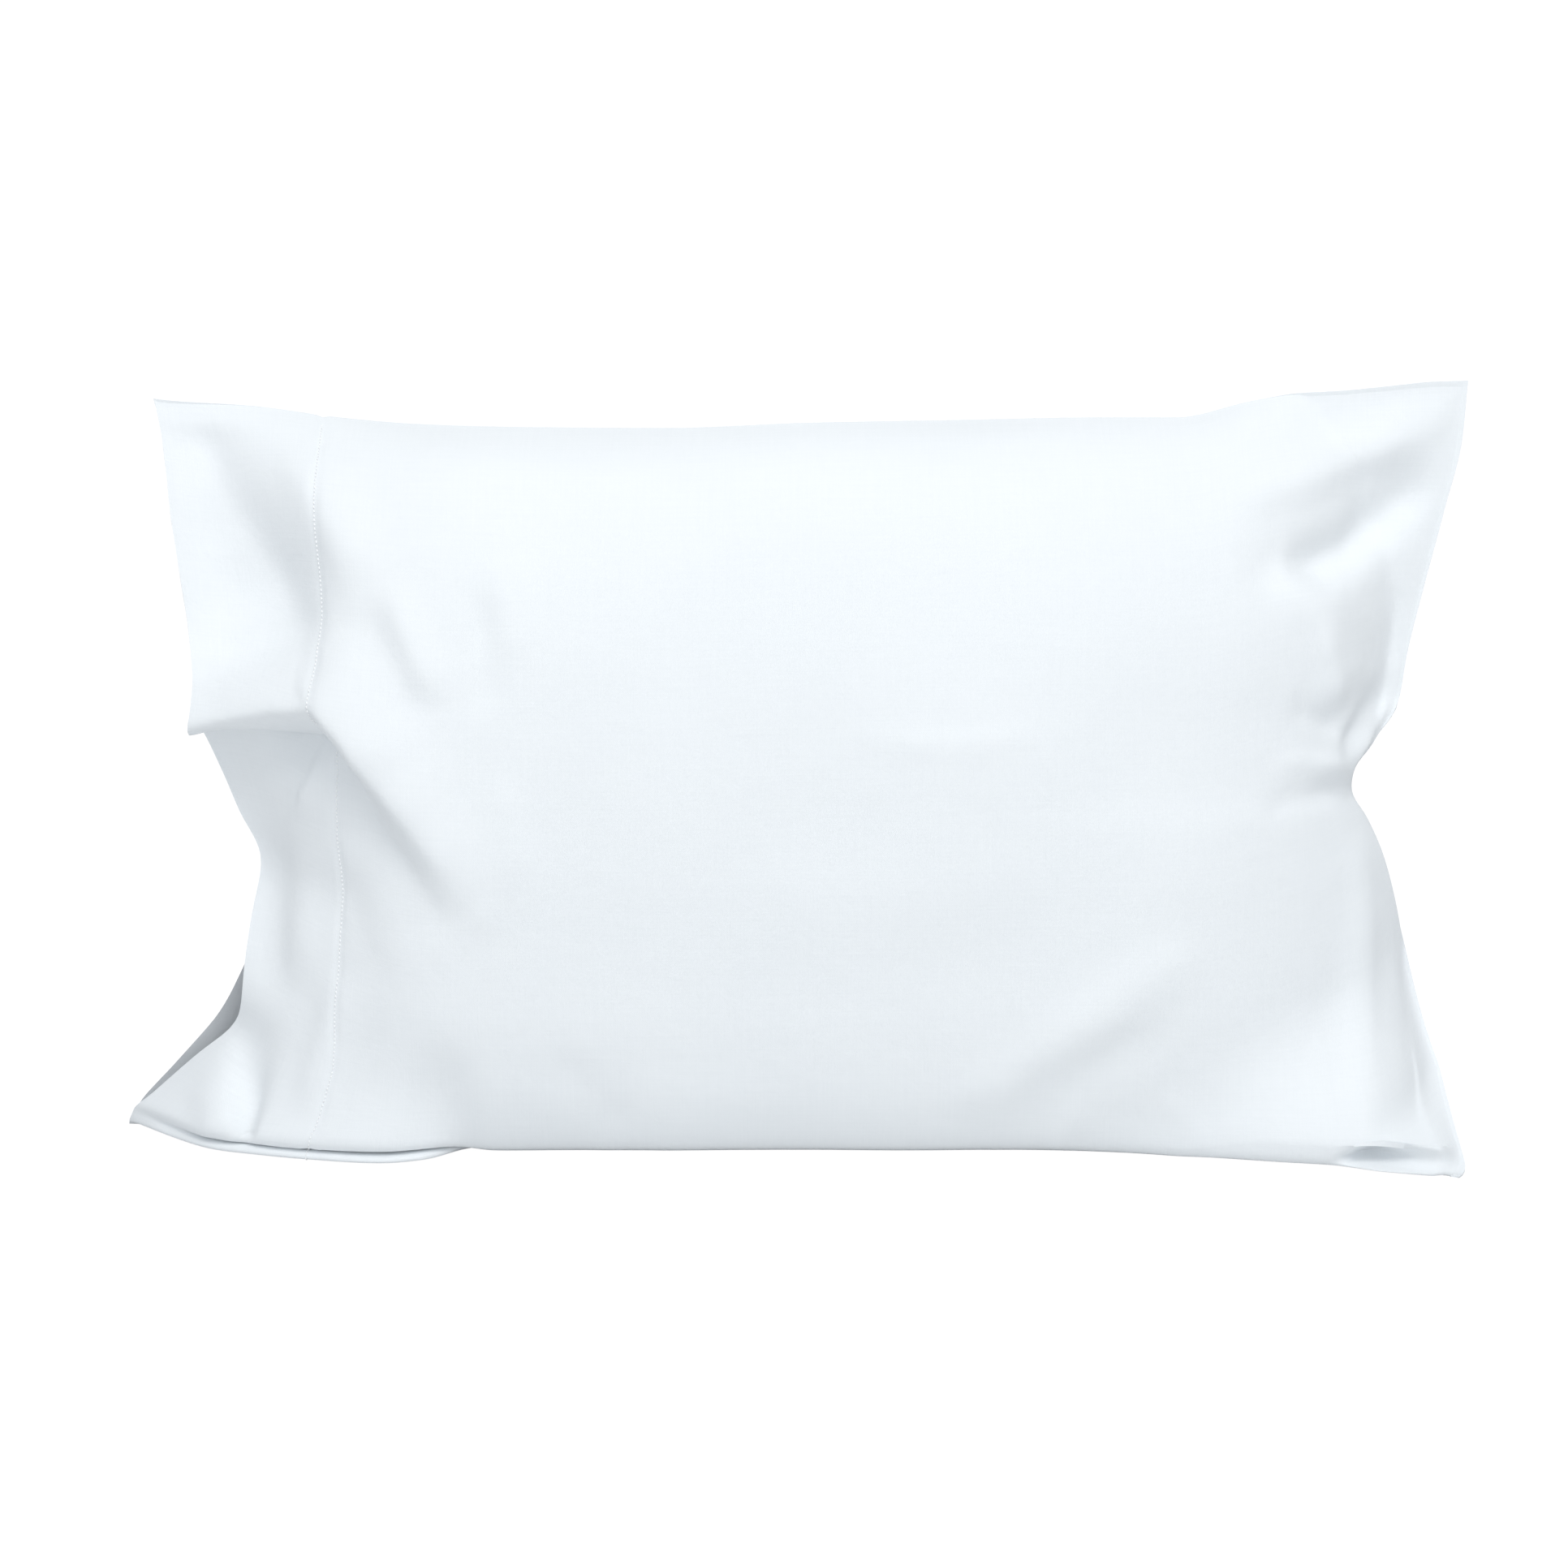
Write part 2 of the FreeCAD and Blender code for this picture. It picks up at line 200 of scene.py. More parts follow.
SKIRT_Z = [(.15, 13), (.18, 22), (.24, 50), (.33, 92)]
# share of the girth, and share of the height at the two open or seamed ends
UPRIGHT = [(0, 0), (.09, .008), (.12, .022), (.14, .032), (.2, .105), (.3, .235), (.45, .41),
           (.7, .68), (1, 1)]

ALONG = spread(300, [(0, 1.0), (.16, 1.1), (.35, 1.6), (.5, 2.4), (.7, 2.0), (.85, 1.0), (1, .8)])
UP = spread(152, [(0, 2.4), (.07, 1.3), (.09, .55), (.15, .55), (.2, 1.2), (.45, 1.0), (.52, .75),
                  (.6, .75), (.68, 1.1), (.9, 1.2), (1, .8)])
SECTION_Y = through([(s, y) for s, y, _ in SECTION], UP)
SECTION_Z = through([(s, z) for s, _, z in SECTION], UP)


def rim_of(keys, height):
    return (through([(h, a) for h, a, _ in keys], height),
            through([(h, f) for h, _, f in keys], height))


def plain_ply(side):
    """The case's front (side -1) or back (side 1) before it has any folds."""
    s, t = np.meshgrid(ALONG, UP, indexing="ij")
    x0 = MOUTH + LENGTH * s
    top = through(TOP_SEAM, x0)
    from_mouth, from_end = LENGTH * s, LENGTH * (1 - s)
    upright = through(UPRIGHT, t)
    rim_z = top * upright
    mouth_x, mouth_y = rim_of(FRONT_MOUTH if side < 0 else BACK_MOUTH, rim_z)
    end_x, end_y = rim_of(END_SEAM, rim_z)
    broad = np.clip(1 - from_mouth / 200, 0, 1) ** 2
    near = np.clip(1 - from_end / 170, 0, 1) ** 2.4
    x = x0 + (mouth_x - MOUTH) * broad + (end_x - CLOSED) * near

    low = .35 + .65 * smooth(t / .35)
    full = smooth(from_mouth / (175 * low)) * smooth(from_end / (130 * low))
    z = top * (upright * (1 - full) + SECTION_Z[None, :] * full)

    right = through(INSERT_RIGHT, z)
    swell = quarter(softened((right + 20 - x) / 205, .12))
    spanned = 12 * smooth(from_end / 60) * np.sin(np.pi * np.clip(t, 0, 1)) ** .5
    bulge = np.hypot(DEPTH * .985 * swell * SECTION_Y[None, :], spanned * SECTION_Y[None, :])
    flare = smooth(from_mouth / 185)
    forward = mouth_y * (1 - flare) + bulge * flare
    seam = smooth(t / .03) * smooth((1 - t) / .02)
    ends = np.where(from_mouth > 60, 1.0, seam + (1 - seam) * smooth(from_mouth / 60))
    forward = forward * (seam + (1 - seam) * full) * ends
    y = side * forward
    y = y - end_y * near
    return np.stack([x, y, z], 2)


def rolled(grid, out, rows_y, rows_z, share, upright_share):
    """The lowest part of a ply brought forward and laid in a roll on the floor, out to here."""
    x, y, z = [grid[:, :, k] for k in range(3)]
    t = np.broadcast_to(UP[None, :], x.shape)
    seam = y[:, :1]
    rise = -out - seam
    roll_y = seam + rows_y * rise
    roll_z = z + (rows_z - z) * upright_share
    back = smooth((t - SKIRT_FROM) / (SKIRT_TO - SKIRT_FROM))
    last = int(np.searchsorted(UP, SKIRT_FROM)) - 1
    skirt_y = roll_y[:, last:last + 1] * (1 - back) + y * back
    skirt_z = z + (through(SKIRT_Z, t) - z) * (1 - back) * upright_share
    new_y = np.where(t <= SKIRT_FROM, roll_y, skirt_y)
    new_z = np.where(t <= SKIRT_FROM, roll_z, skirt_z)
    return np.stack([x, y + (new_y - y) * share, z + (new_z - z) * share], 2)


def mouth_roll(grid):
    """Lower front by the mouth: a long roll of cloth on the floor."""
    x = grid[:, :, 0]
    inward = smooth((ALONG * LENGTH)[:, None] / 70)
    return rolled(grid, through(MOUTH_ROLL, x), through(MOUTH_ROLL_Y, UP)[None, :],
                  through(MOUTH_ROLL_Z, UP)[None, :], smooth((ROLL_END - x) / 40), inward)


def corner_roll(grid):
    """Lower front by the closed end: the cloth lifts in a lip over the turned corner."""
    x = grid[:, :, 0]
    from_end = (LENGTH * (1 - ALONG))[:, None]
    lifted = smooth((x - 288) / 34)
    plain_y, plain_z, lip_y, lip_z = [through(keys, UP)[None, :] for keys in
                                      (PLAIN_FOOT_Y, PLAIN_FOOT_Z, CORNER_ROLL_Y, CORNER_ROLL_Z)]
    rows_y = plain_y * (1 - lifted) + lip_y * lifted
    rows_z = plain_z * (1 - lifted) + lip_z * lifted
    turned = smooth((x - 306) / 50) * smooth((UP[None, :] - .14) / .04)
    share = smooth((x - 100) / 170) * smooth(from_end / 22) * (1 - .85 * turned)
    return rolled(grid, through(CORNER_ROLL, x), rows_y, rows_z, share, smooth((x - 200) / 60))


EAR_TIP = 372              # how far along the lower corner of the closed end reaches


def ear_on_the_floor(grid):
    """The lower corner of the closed end, turned forward and down onto the floor."""
    x, y, z = [grid[:, :, k] for k in range(3)]
    along = np.clip(EAR_TIP - x, 0, None)
    from_corner = np.hypot(along, np.clip(z, 0, None) * 2.0)
    turned = smooth(1 - from_corner / 84)
    leant = smooth(1 - np.hypot(along * .8, z) / 120) ** 1.5
    return np.stack([x - 9 * turned, y - 82 * turned - 28 * leant, z * (1 - .6 * turned)], 2)


# Folds of each face: a path of (along, up, height), then its widths on the left and right of it

FRONT_FOLDS = [
    # ledge where the cuff tucks under itself, then the ridge that runs down from it
    ([(-366, 240, 13, 46, 5), (-315, 246.5, 15, 46, 4.5), (-283, 251, 17, 44, 4.5),
      (-268, 253, 17, 36, 5), (-249, 234, 15, 28, 8), (-231, 212, 12, 25, 11),
      (-209, 184, 8, 24, 13), (-181, 148, 2.5, 24, 15), (-165, 128, 0, 24, 15)], (26, 8), 1.8),
    # the dark hollow below it, and the band of shade beside the ridge
    ([(-366, 229, -9, 6, 32), (-322, 235, -19, 6, 32), (-294, 240, -28, 6, 28),
      (-278, 241, -26, 6, 28), (-264, 230, -15, 7, 30), (-247, 206, -9, 9, 28),
      (-228, 178, -6, 10, 28), (-209, 150, -3, 10, 26), (-196, 126, 0, 10, 26)], (9, 28), 1.8),
    # upper cuff: edge turned forward, then a broad hollow to where the pillow starts
    ([(-368, 412, 0), (-362, 385, 4), (-352, 322, 6), (-347, 285, 3)], (16, 13), 2),
    ([(-352, 424, -3, 14, 26), (-340, 390, -11, 18, 48), (-324, 354, -16, 24, 58),
      (-306, 324, -19, 26, 50), (-294, 300, -16, 22, 42), (-284, 280, -6, 18, 28)], (34, 30), 2),
    ([(-296, 402, 2), (-276, 372, 6), (-260, 348, 7), (-248, 318, 3), (-240, 300, 0)], (18, 14), 2),
    # short folds right of the stitch row
    ([(-262, 345, 0), (-250, 320, -1.5), (-236, 290, -2), (-218, 264, -2), (-207, 246, 0)],
     (14, 18), 2),
    ([(-234, 328, 0), (-224, 304, 4), (-212, 278, 4.5), (-201, 254, 0)], (10, 10), 2),
    ([(-181, 322, 0), (-180, 300, -2.2), (-180, 270, -2.2), (-181, 250, 0)], (10, 6), 2),
    ([(-172, 345, 0), (-170, 326, 3), (-165, 300, 2.5), (-162, 276, 0)], (13, 12), 2),
    ([(-176, 228, 0), (-166, 204, 2), (-162, 176, 2), (-168, 150, 0)], (9, 12), 2),
    # lower cuff
    ([(-290, 190, 0), (-287, 160, 3), (-286, 120, 3), (-289, 86, 0)], (13, 14), 2),
    ([(-308, 178, -1), (-306, 146, -3), (-305, 110, -3), (-305, 84, 0)], (11, 14), 2),
    ([(-268, 176, 0), (-258, 150, -1.6), (-246, 118, -1.6), (-234, 92, 0)], (12, 18), 2),
    ([(-262, 110, 0), (-268, 82, 3), (-278, 50, 3), (-286, 22, 0)], (12, 9), 2),
    ([(-328, 82, 0, 22, 14), (-324, 56, -10, 17, 10), (-322, 32, -14, 10, 6),
      (-321, 14, -9, 5, 4), (-321, 6, 0, 4, 4)], (13, 6), 2),
    ([(-352, 44, 0), (-346, 30, 4), (-340, 18, 4), (-336, 8, 0)], (14, 12), 2),
    # upper ear of the closed end
    ([(226, 372, 0), (252, 373, 5), (284, 381, 8), (320, 395, 8), (358, 411, 2)], (15, 11), 2),
    ([(232, 330, 0), (260, 335, -8), (286, 336, -14), (308, 344, -13), (334, 365, -9),
      (360, 388, 0)], (14, 13), 2),
    ([(236, 342, 0), (262, 331, 4), (284, 303, 6), (297, 276, 5), (296, 246, 0)], (16, 12), 2),
    ([(316, 342, 0), (332, 308, -3), (336, 282, -3.5), (332, 262, -1)], (9, 28), 2),
    # the pinch half way up the closed end
    ([(336, 256, 1), (329, 243, 3), (319, 229, 4), (311, 216, 1)], (6, 5), 2),
    ([(328, 262, -1), (318, 248, -5), (309, 235, -6), (303, 222, -2)], (8, 7), 2),
    ([(312, 215, 1), (294, 221, 4), (272, 225, 2), (250, 224, 0)], (6, 5), 2),
    ([(304, 238, -1), (292, 243, -4), (276, 250, -2), (262, 262, 0)], (6, 7), 2),
    ([(310, 205, -2), (292, 206, -4), (266, 203, -2), (246, 196, 0)], (7, 7), 2),
    ([(302, 252, 0), (292, 264, 3), (286, 284, 2.5), (280, 300, 0)], (6, 6), 2),
    # lower closed end
    ([(314, 190, 0), (316, 160, 3), (314, 100, 5), (310, 40, 5), (308, 12, 0)], (10, 12), 2),
    ([(328, 176, 0), (336, 124, 3), (343, 80, 8), (346, 44, 13), (346, 14, 4)],
     (9, 24), 2),
    ([(286, 60, 0), (298, 40, -3), (303, 20, -4), (300, 6, 0)], (10, 10), 2),
    # broad soft folds of the lower front
    ([(76, 24, 0), (104, 50, 3), (150, 82, 4), (190, 110, 3.5), (222, 128, 0)], (15, 20), 2),
    ([(94, 14, 0), (128, 40, -2), (174, 70, -3), (212, 90, 0)], (14, 18), 2),
    ([(196, 44, 0), (206, 30, 2.5), (216, 14, 2.5), (222, 4, 0)], (7, 9), 2),
    ([(152, 40, 0), (146, 26, 1.5), (138, 12, 1.5), (132, 4, 0)], (7, 7), 2),
    ([(-150, 70, 0), (-132, 52, -1.5), (-112, 30, -1.5), (-102, 12, 0)], (12, 14), 2),
    ([(-60, 160, 0), (20, 150, 2), (96, 158, 1.6), (150, 176, 0)], (24, 30), 2),
    ([(8, 245, 0), (60, 240, 1.4), (96, 241, 1.4), (130, 246, 0)], (6, 11), 2),
    ([(-240, 395, 0), (-190, 385, 2), (-120, 380, 2), (-50, 384, 0)], (12, 18), 2),
]
BACK_FOLDS = [
    ([(-340, 205, -4), (-310, 210, -12), (-278, 222, -10), (-240, 236, -3), (-215, 244, 0)],
     (18, 12), 2),
    ([(-330, 230, 3), (-300, 240, 9), (-262, 252, 8), (-222, 262, 0)], (16, 11), 2),
    ([(-352, 400, 0), (-332, 366, -9), (-300, 332, -12), (-266, 308, -6), (-240, 296, 0)],
     (20, 14), 2),
    ([(-300, 150, 0), (-286, 120, 5), (-280, 84, 6), (-286, 40, 3), (-292, 12, 0)], (12, 9), 2),
    ([(-318, 110, 0), (-306, 80, -6), (-302, 50, -7), (-306, 16, 0)], (10, 10), 2),
    ([(-250, 180, 0), (-228, 150, 5), (-200, 122, 5), (-168, 104, 0)], (14, 11), 2),
    ([(222, 336, 0), (252, 344, -7), (280, 352, -6), (304, 362, 0)], (10, 14), 2),
    ([(240, 372, 0), (280, 384, 7), (322, 398, 7), (362, 412, 2)], (12, 10), 2),
    ([(312, 212, 2), (290, 214, 6), (262, 222, 4), (232, 236, 0)], (8, 6), 2),
    ([(306, 232, -3), (284, 242, -7), (262, 258, -3), (246, 276, 0)], (8, 8), 2),
    ([(310, 196, -3), (284, 190, -6), (254, 176, -3), (236, 164, 0)], (8, 8), 2),
    ([(330, 150, 0), (332, 104, -6), (328, 60, -9), (322, 20, -3)], (9, 12), 2),
    ([(316, 170, 0), (314, 110, 5), (308, 50, 6), (304, 12, 0)], (10, 10), 2),
    ([(-40, 60, 0), (20, 84, 4), (90, 96, 4), (150, 92, 0)], (16, 20), 2),
    ([(120, 300, 0), (160, 270, 3), (196, 246, 3), (228, 232, 0)], (14, 16), 2),
    ([(-170, 330, 0), (-130, 306, 3), (-90, 276, 2), (-60, 250, 0)], (16, 18), 2),
]


# soft creasing: its size, seed and height by the ends, and how much calmer it is between them
CREASING = [(95, 1.7, 2.2, 0), (30, 7.3, .75, .45), (11, 4.1, .30, .20)]
STITCH_DRAW = 1.0          # how far the cuff's stitch row draws the cloth in
FLAT_FOOT = .085           # share of the girth that lies flat on the floor
FLOOR_GAP = .3


def case_ply(side):
    """One face of the case with all its folds."""
    grid = plain_ply(side)
    if side < 0:
        grid = mouth_roll(grid)
    grid = relaxed(grid, 3, keep_rims=False)
    out = normals(grid, side)
    # folds stand forward of the edges, but don't push the edges out sideways
    from_edges = LENGTH * np.minimum(ALONG, 1 - ALONG)
    out[:, :, 0] *= smooth(from_edges / 70)[:, None]
    x, z = grid[:, :, 0], grid[:, :, 2]
    s, t = np.meshgrid(ALONG, UP, indexing="ij")
    height = sum(fold(x, z, *each) for each in (FRONT_FOLDS if side < 0 else BACK_FOLDS))
    from_seams = np.minimum(np.minimum(GIRTH * t, GIRTH * (1 - t)), LENGTH * (1 - s))
    held = smooth(from_seams / 22)
    height = height * held
    body = smooth(LENGTH * s / 90) * smooth(LENGTH * (1 - s) / 90)
    for size, seed, by_the_ends, calmer in CREASING:
        height += uneven(x, z, size, seed - side) * (by_the_ends - calmer * body) * held
    pucker = np.exp(-from_seams / 9) * held
    height += uneven(x, z, 5, 9.6 - side) * .9 * pucker
    # the stitched hem of the cuff draws the cloth in along its row
    hem = LENGTH * s - CUFF
    height -= STITCH_DRAW * np.exp(-(hem / 2.6) ** 2)
    height += uneven(x, z, 6, 14.2 - side) * .9 * np.exp(-(hem / 7) ** 2)
    # the foot stays flat on the floor
    height *= smooth((t - FLAT_FOOT) / .07)
    grid = grid + out * height[:, :, None]
    grid = relaxed(grid, 1, keep_rims=False)
    grid = ear_on_the_floor(grid)
    if side < 0:
        grid = relaxed(corner_roll(grid), 1)
    grid[:, :, 2] = np.maximum(grid[:, :, 2], FLOOR_GAP)
    return grid


# Meshes

SHARP = 72                 # degrees between faces that meet in an edge, not a curve


def mesh_of(name, points, faces, uvs=None):
    """A piece from points in millimetres. The uvs are in metres, one for each point."""
    data = bpy.data.meshes.new(name)
    faces = np.asarray(faces)
    count, corners = faces.shape
    data.vertices.add(len(points))
    data.vertices.foreach_set("co", (np.asarray(points) * MM).ravel())
    data.loops.add(count * corners)
    data.polygons.add(count)
    data.polygons.foreach_set("loop_start", np.arange(count) * corners)
    data.loops.foreach_set("vertex_index", faces.ravel())
    data.update(calc_edges=True)
    data.polygons.foreach_set("use_smooth", np.ones(count, bool))
    if uvs is not None:
        layer = data.uv_layers.new(name="cloth")
        layer.data.foreach_set("uv", (np.asarray(uvs) * MM)[faces.ravel()].ravel())
    data.validate()
    data.set_sharp_from_angle(angle=math.radians(SHARP))
    piece = bpy.data.objects.new(name, data)
    bpy.context.scene.collection.objects.link(piece)
    return piece


def quads(rows, columns, start=0):
    a = start + np.arange(rows * columns).reshape(rows, columns)
    return np.stack([a[:-1, :-1], a[1:, :-1], a[1:, 1:], a[:-1, 1:]], 2).reshape(-1, 4)


def cloth_piece(name, grid, side, thick, uv_grid):
    """A thin closed sheet: the grid as its outside, and its inside this far in."""
    rows, columns = grid.shape[:2]
    inner = grid - normals(grid, side) * thick
    inner[:, :, 2] = np.maximum(inner[:, :, 2], .1)
    n = rows * columns
    outside = quads(rows, columns)
    inside = quads(rows, columns, n)
    if side < 0:
        inside = inside[:, ::-1]
    else:
        outside = outside[:, ::-1]
    ring = np.concatenate([np.arange(rows) * columns,
                           (rows - 1) * columns + np.arange(1, columns),
                           (np.arange(rows - 2, -1, -1)) * columns + columns - 1,
                           np.arange(columns - 2, 0, -1)])
    after = np.roll(ring, -1)
    edge = np.stack([after, ring, ring + n, after + n], 1)
    if side > 0:
        edge = edge[:, ::-1]
    points = np.concatenate([grid.reshape(-1, 3), inner.reshape(-1, 3)])
    uvs = np.concatenate([uv_grid.reshape(-1, 2)] * 2)
    return mesh_of(name, points, np.concatenate([outside, inside, edge]), uvs)


def flat_uv(along, up):
    s, t = np.meshgrid(along * LENGTH, up * GIRTH, indexing="ij")
    return np.stack([s, t], 2)


front, back = case_ply(-1), case_ply(1)
for rims in ((slice(None), 0), (slice(None), -1), (-1, slice(None))):
    middle = (front[rims] + back[rims]) / 2
    front[rims], back[rims] = middle, middle
# where the two plies lie against each other they fold as one
in_from_seams = np.minimum(np.minimum(GIRTH * UP, GIRTH * (1 - UP))[None, :],
                           LENGTH * (1 - ALONG)[:, None])
beside = front[:, :, 1] + TOGETHER * smooth(in_from_seams / 8) - back[:, :, 1]
back[:, :, 1] += np.maximum(beside, 0) * smooth(in_from_seams / 4)
case_front = cloth_piece("percale_front", front, -1, CLOTH, flat_uv(ALONG, UP))
case_back = cloth_piece("percale_back", back, 1, CLOTH, flat_uv(ALONG, UP))


def lining(name, grid, side):
    """Inner ply of the cuff, close inside the outer one, from the mouth fold to the stitches."""
    last = int(np.searchsorted(ALONG, CUFF / LENGTH)) + 2
    inset = CLOTH + .25
    inner = grid[:last, 3:-3] - normals(grid, side)[:last, 3:-3] * inset
    return cloth_piece(name, inner, side, CLOTH, flat_uv(ALONG[:last], UP[3:-3]))


lining_front = lining("cuff_lining_front", front, -1)
lining_back = lining("cuff_lining_back", back, 1)


# Inside the case

INSERT_START = -268.0
INSERT_HIGH = 388.0
INSERT_UP = spread(90, [(0, 2), (.1, 1), (.5, 1.2), (.9, 1), (1, .7)])
INSERT_ALONG = spread(140, [(0, .6), (.1, 1), (.5, 1.6), (.9, 1), (1, .6)])
PUFF_PRESSURE = 4.0
PUFF_FRAMES = 20
PUFF_MOST = 14.0           # no point moves further than this
SPARE_CLOTH = .03          # the ticking is this much larger than what it is filled to
AIR = 3.2                  # case to insert
TICKING = 0.8
UNDERSIDE = 1.4            # height of the lowest ticking
INSERT_LONG, INSERT_WIDE = 610, 500


def clear_of(points, ply, side, air):
    """Points pushed in until they are this far inside a ply of the case."""
    out = normals(ply, side)[::2, ::2].reshape(-1, 3)
    where = ply[::2, ::2].reshape(-1, 3)
    tree = KDTree(len(where))
    for k, place in enumerate(where):
        tree.insert(place, k)
    tree.balance()
    near = np.array([tree.find(place)[1] for place in points])
    inside = ((where[near] - points) * out[near]).sum(1)
    return points - out[near] * np.clip(air - inside, 0, None)[:, None]


def insert_ply(side):
    """One face of the pillow inside, before it is puffed up."""
    s, t = np.meshgrid(INSERT_ALONG, INSERT_UP, indexing="ij")
    level = .42 + .5 * (t - .5)
    right = through(INSERT_RIGHT, level * INSERT_HIGH) - 14
    corner = 1 - .05 * (2 * abs(t - .5)) ** 6
    left = INSERT_START + 12 * np.sin(math.pi * t) ** 1.4
    x = left + (right * corner - left) * s
    full = quarter(s / .26) * quarter((1 - s) / .28)
    top = INSERT_HIGH - 16 * np.sin(math.pi * s) + 4 * s
    squared = full ** .6
    z = UNDERSIDE + (top - UNDERSIDE) * (
        t * (1 - squared) + through([(a, c) for a, _, c in SECTION], t) * squared)
    y = side * .93 * DEPTH * full * through([(a, b) for a, b, _ in SECTION], t)
    return np.stack([x, y, z], 2)


def rims_of(rows, columns):
    """Where the four rims of a grid are in its list of points."""
    at = np.arange(rows * columns).reshape(rows, columns)
    return np.unique(np.concatenate([at[0], at[-1], at[:, 0], at[:, -1]]))


def joined(one, other):
    """The closed lump between two grids that share their rims: its points, its faces, and
    where the points of each grid are in it."""
    rows, columns = one.shape[:2]
    n = rows * columns
    own = np.arange(2 * n)
    rims = rims_of(rows, columns)
    own[rims + n] = rims
    used, own = np.unique(own, return_inverse=True)
    points = np.concatenate([one.reshape(-1, 3), other.reshape(-1, 3)])[used]
    faces = own[np.concatenate([quads(rows, columns), quads(rows, columns, n)[:, ::-1]])]
    return points, faces, own[:n].reshape(rows, columns), own[n:].reshape(rows, columns)


def puffed(one, other):
    """Both faces of the pillow after air pressure inside has filled out their cloth."""
    points, faces, at_one, at_other = joined(one, other)
    lump = mesh_of("pillow_puff", points, faces)
    puff = lump.modifiers.new("puff", "CLOTH")
    cloth = puff.settings
    cloth.quality = 6
    cloth.mass = .2
    cloth.tension_stiffness = cloth.compression_stiffness = 12
    cloth.shear_stiffness = 4
    cloth.bending_stiffness = .3
    cloth.use_pressure = True
    cloth.uniform_pressure_force = PUFF_PRESSURE
    cloth.shrink_min = -SPARE_CLOTH
    cloth.effector_weights.gravity = 0
    puff.point_cache.frame_end = PUFF_FRAMES
    for number in range(1, PUFF_FRAMES + 1):
        bpy.context.scene.frame_set(number)
    seen = lump.evaluated_get(bpy.context.evaluated_depsgraph_get())
    moved = np.zeros(len(points) * 3)
    seen.data.vertices.foreach_get("co", moved)
    moved = moved.reshape(-1, 3) / MM - points
    moved -= moved.mean(0)
    far = np.linalg.norm(moved, axis=1, keepdims=True)
    moved *= np.minimum(1, PUFF_MOST / np.maximum(far, 1e-6))
    bpy.data.objects.remove(lump)
    bpy.context.scene.frame_set(1)
    points = points + moved
    return points[at_one], points[at_other]


def settled(grid, side):
    """A face of the puffed pillow, on the floor and clear of the case all round."""
    rims = rims_of(*grid.shape[:2])
    grid = grid.copy()
    grid.reshape(-1, 3)[rims, 1] = 0
    for _ in range(3):
        before = grid.reshape(-1, 3).copy()
        inside = clear_of(before, front if side < 0 else back, side, AIR)
        inside[:, 0] = before[:, 0]
        inside[:, 1] = side * np.minimum(side * inside[:, 1], side * before[:, 1])
        # by the mouth the case hangs free, and only its depth matters
        freely = smooth((before[:, 0] + 230) / 70)
        inside[:, 2] = before[:, 2] + (inside[:, 2] - before[:, 2]) * freely
        inside[rims] = before[rims]
        grid = relaxed(inside.reshape(grid.shape), 1)
    grid[:, :, 1] = side * np.maximum(side * grid[:, :, 1], 0)
    grid[:, :, 2] = np.maximum(grid[:, :, 2], UNDERSIDE)
    return grid


insert_front, insert_back = [settled(each, side) for side, each in
                             zip((-1, 1), puffed(insert_ply(-1), insert_ply(1)))]
insert_uv = np.stack(np.meshgrid(INSERT_ALONG * INSERT_LONG, INSERT_UP * INSERT_WIDE,
                                 indexing="ij"), 2)
ticking_front = cloth_piece("ticking_front", insert_front, -1, TICKING, insert_uv)
ticking_back = cloth_piece("ticking_back", insert_back, 1, TICKING, insert_uv)


def fibre_core():
    """The stuffing: one closed lump inside the ticking."""
    plies = []
    for side, ply in ((-1, insert_front), (1, insert_back)):
        grid = (ply - normals(ply, side) * (TICKING + 1.4))[::2, ::2]
        middle = grid.mean((0, 1))
        grid = middle + (grid - middle) * np.array([.985, 1, .985])
        s, t = np.meshgrid(np.arange(grid.shape[0]) / 4.0, np.arange(grid.shape[1]) / 4.0,
                           indexing="ij")
        lumps = np.minimum(uneven(s, t, 1.0, 31.0 + side) * 3 - 2, 0)
        grid = grid + normals(grid, side) * lumps[:, :, None]
        plies.append(grid)
    points, faces, _, _ = joined(*plies)
    points[rims_of(*plies[0].shape[:2]), 1] = 0
    return mesh_of("fibre_core", points, faces)


fill_core = fibre_core()


# Threads, cord and labels

def tube(name, path, radius, sides=10):
    """A closed tube round a closed path."""
    path = np.asarray(path)
    ahead = np.roll(path, -1, 0) - np.roll(path, 1, 0)
    ahead /= np.linalg.norm(ahead, axis=1, keepdims=True)
    across = np.tile([0.0, 1.0, 0.0], (len(path), 1))
    across -= ahead * (across * ahead).sum(1)[:, None]
    across /= np.linalg.norm(across, axis=1, keepdims=True)
    third = np.cross(ahead, across)
    turn = np.arange(sides) * 2 * math.pi / sides
    ring = (path[:, None, :] + radius * (np.cos(turn)[None, :, None] * across[:, None, :]
                                         + np.sin(turn)[None, :, None] * third[:, None, :]))
    n = len(path)
    a = np.arange(n * sides).reshape(n, sides)
    b = np.roll(a, -1, 0)
    faces = np.stack([a, np.roll(a, -1, 1), np.roll(b, -1, 1), b], 2).reshape(-1, 4)
    run = np.concatenate([[0], np.cumsum(np.linalg.norm(np.diff(path, axis=0), axis=1))])
    uvs = np.stack([np.repeat(run, sides), np.tile(turn * radius, n)], 1)
    return mesh_of(name, ring.reshape(-1, 3), faces, uvs)


